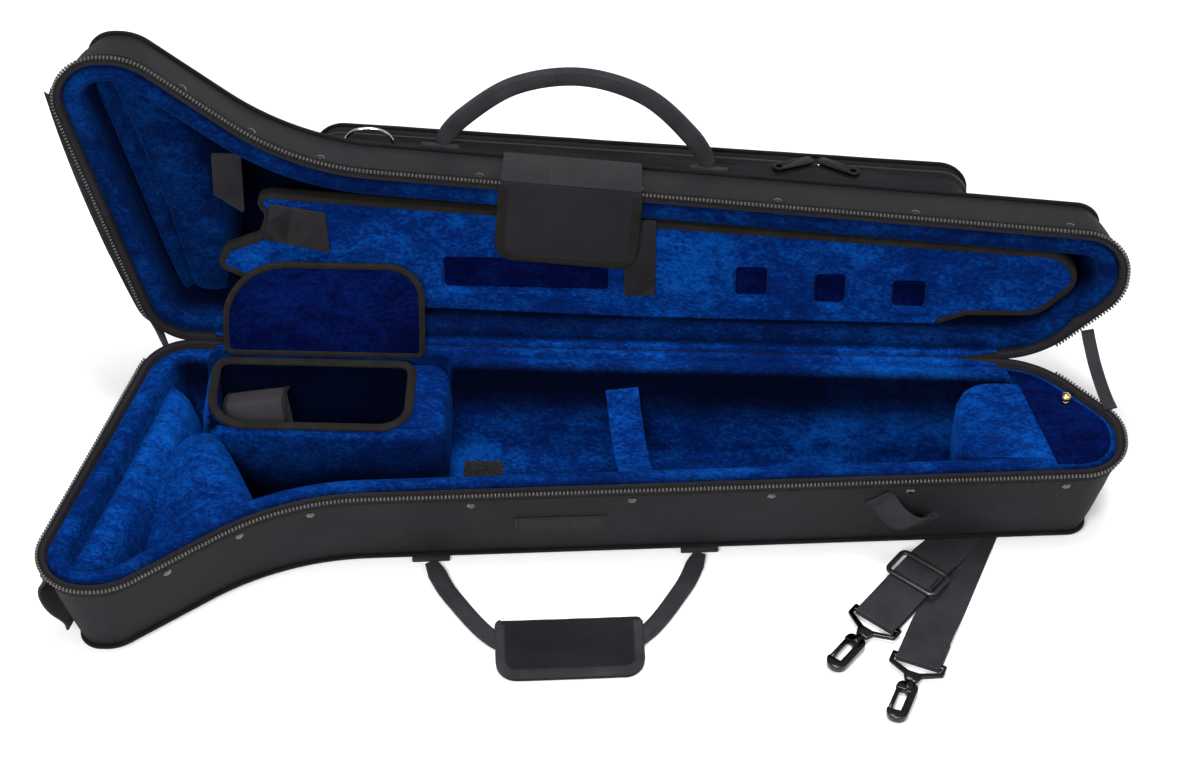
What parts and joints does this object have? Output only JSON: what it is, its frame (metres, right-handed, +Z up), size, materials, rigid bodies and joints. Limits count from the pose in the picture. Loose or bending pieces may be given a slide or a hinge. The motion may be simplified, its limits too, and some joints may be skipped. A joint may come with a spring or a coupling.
{
  "type": "trombone case",
  "caption": "Contoured soft case for a tenor trombone, open, with a plush interior, accessory box, slide panel, handles and a shoulder strap.",
  "frame": {"origin": "on the underside of the base, below the hinge line's middle, on the floor that the case lies on", "axes": "+X along the case from the bell end to the narrow end, -Y the front with the zipper, +Z up"},
  "size_m": [0.9447, 0.4916, 0.4087],
  "materials": {
    "nylon": "black woven nylon",
    "velvet": "blue plush",
    "webbing": "black webbing",
    "binding": "black binding tape",
    "black_metal": "black gloss",
    "silver": "polished nickel",
    "brass": "polished brass",
    "hook_tape": "hook and loop tape",
    "zip_metal": "dark metal teeth on tape"
  },
  "bodies": {
    "case": {"base_shell": "nylon", "base_lining": "velvet", "base_piping": "binding", "base_zipper": "zip_metal", "flap_patch": "hook_tape", "bell_wedge": "velvet", "bell_end_pad": "velvet", "accessory_box": "velvet", "accessory_box_binding": "binding", "floor_patch": "hook_tape", "hold_down_strap": "velvet", "end_block": "velvet", "front_grab_loop": "webbing", "end_grab_loop": "webbing", "base_handle_anchor_left": "webbing", "base_handle_anchor_right": "webbing", "shoulder_strap": "webbing", "strap_frame_a": "black_metal", "strap_frame_b": "black_metal", "hinge_fabric": "nylon", "stay_right": "webbing", "stay_left": "webbing"},
    "lid": {"lid_shell": "nylon", "lid_lining": "velvet", "lid_piping": "binding", "lid_zipper": "zip_metal", "bell_cushion": "velvet", "slide_panel": "velvet", "panel_binding": "binding", "panel_strap": "webbing", "middle_strap": "webbing", "strap_tab": "webbing", "music_pocket": "nylon", "lid_handle_anchor_left": "webbing", "lid_handle_anchor_right": "webbing", "d_ring_tab": "webbing", "flap_root": "nylon"},
    "closing_flap": {"closing_flap": "nylon"},
    "accessory_lid": {"accessory_lid": "velvet", "accessory_lid_binding": "binding"},
    "end_lid": {"end_lid": "velvet", "end_lid_knob": "brass"},
    "base_handle": {"base_handle": "webbing", "base_handle_grip": "nylon"},
    "lid_handle": {"lid_handle": "webbing"},
    "pocket_cover": {"pocket_cover": "nylon"},
    "pocket_slider_left": {"pocket_slider_left": "silver"},
    "pocket_slider_right": {"pocket_slider_right": "silver"},
    "pocket_pull_left": {"pocket_pull_left": "black_metal"},
    "pocket_pull_right": {"pocket_pull_right": "black_metal"},
    "d_ring": {"d_ring": "silver"},
    "mouthpiece_pouch": {"mouthpiece_pouch": "nylon"},
    "pouch_flap": {"pouch_flap": "nylon"},
    "hook_a": {"snap_hook_a": "black_metal"},
    "hook_b": {"snap_hook_b": "black_metal"},
    "gate_a": {"hook_gate_a": "silver"},
    "gate_b": {"hook_gate_b": "silver"},
    "strap_adjuster": {"strap_adjuster": "black_metal"}
  },
  "joints": [
    {"name": "lid_hinge", "type": "hinge", "parent": "case", "child": "lid", "pos_m": [0, 0.095, 0.1204], "axis": [1, 0, 0], "range_deg": [0, 101], "deforming": ["hinge_fabric", "stay_left", "stay_right"]},
    {"name": "closing_flap", "type": "hinge", "parent": "lid", "child": "closing_flap", "pos_m": [-0.0156, 0.12597, 0.29072], "axis": [-0.9972, 0.0143, 0.0734], "range_deg": [0, 118.8]},
    {"name": "accessory_lid", "type": "hinge", "parent": "case", "child": "accessory_lid", "pos_m": [0, 0.085, 0.1162], "axis": [1, 0, 0], "range_deg": [0, 109.1]},
    {"name": "end_lid", "type": "hinge", "parent": "case", "child": "end_lid", "pos_m": [0.381, 0.082, 0.118], "axis": [-0.2983, 0.9545, 0], "range_deg": [-80, 2.5]},
    {"name": "base_handle", "type": "hinge", "parent": "case", "child": "base_handle", "pos_m": [-0.01589, -0.05411, 0.0041], "axis": [0.9972, 0.0747, 0], "range_deg": [-69, 0]},
    {"name": "lid_handle", "type": "hinge", "parent": "lid", "child": "lid_handle", "pos_m": [-0.01548, 0.20784, 0.25598], "axis": [-0.9972, 0.0143, 0.0734], "range_deg": [-69, 0]},
    {"name": "pocket_cover", "type": "hinge", "parent": "lid", "child": "pocket_cover", "pos_m": [0, 0.24161, 0.13571], "axis": [1, 0, 0], "range_deg": [-57, 0]},
    {"name": "pocket_slider_left", "type": "slide", "parent": "lid", "child": "pocket_slider_left", "axis": [0.9986, -0.01, -0.0513], "range_m": [-0.25, 0]},
    {"name": "pocket_slider_right", "type": "slide", "parent": "lid", "child": "pocket_slider_right", "axis": [-0.9986, 0.01, 0.0513], "range_m": [-0.09, 0]},
    {"name": "pocket_pull_left", "type": "hinge", "parent": "pocket_slider_left", "child": "pocket_pull_left", "pos_m": [0.19635, 0.24185, 0.22233], "axis": [0.0523, 0.1905, 0.9803], "range_deg": [-50, 0]},
    {"name": "pocket_pull_right", "type": "hinge", "parent": "pocket_slider_right", "child": "pocket_pull_right", "pos_m": [0.20834, 0.24173, 0.22172], "axis": [-0.0523, -0.1905, -0.9803], "range_deg": [-50, 0]},
    {"name": "d_ring", "type": "hinge", "parent": "lid", "child": "d_ring", "pos_m": [-0.201, 0.2143, 0.25511], "axis": [1, 0, 0], "range_deg": [-90, 0]},
    {"name": "mouthpiece_pouch", "type": "slide", "parent": "case", "child": "mouthpiece_pouch", "axis": [0, 0, -1], "range_m": [-0.12, 0]},
    {"name": "pouch_flap", "type": "hinge", "parent": "mouthpiece_pouch", "child": "pouch_flap", "pos_m": [-0.29807, 0.06316, 0.09004], "axis": [0.9863, 0.0376, 0.1606], "range_deg": [-75, 0]},
    {"name": "hook_a_swivel", "type": "hinge", "parent": "case", "child": "hook_a", "pos_m": [0.24736, -0.13752, 0.0065], "axis": [-0.6, -0.8, 0], "range_deg": [-20, 20]},
    {"name": "hook_b_swivel", "type": "hinge", "parent": "case", "child": "hook_b", "pos_m": [0.28906, -0.18589, 0.0065], "axis": [-0.3461, -0.9382, 0], "range_deg": [-20, 20]},
    {"name": "gate_a", "type": "hinge", "parent": "hook_a", "child": "gate_a", "pos_m": [0.2336, -0.1442, 0.0065], "axis": [0, 0, 1], "range_deg": [0, 20], "stiffness_Nm_per_rad": 0.02, "springref_deg": -5.73},
    {"name": "gate_b", "type": "hinge", "parent": "hook_b", "child": "gate_b", "pos_m": [0.27778, -0.19623, 0.0065], "axis": [0, 0, 1], "range_deg": [0, 20], "stiffness_Nm_per_rad": 0.02, "springref_deg": -5.73},
    {"name": "strap_adjuster", "type": "slide", "parent": "case", "child": "strap_adjuster", "axis": [0.6, 0.8, 0], "range_m": [-0.011, 0.004]}
  ],
  "couplings": [
    {"joint": "closing_flap", "follows": "lid_hinge", "ratio": 1.1752},
    {"joint": "accessory_lid", "follows": "lid_hinge", "ratio": 1.0792}
  ]
}
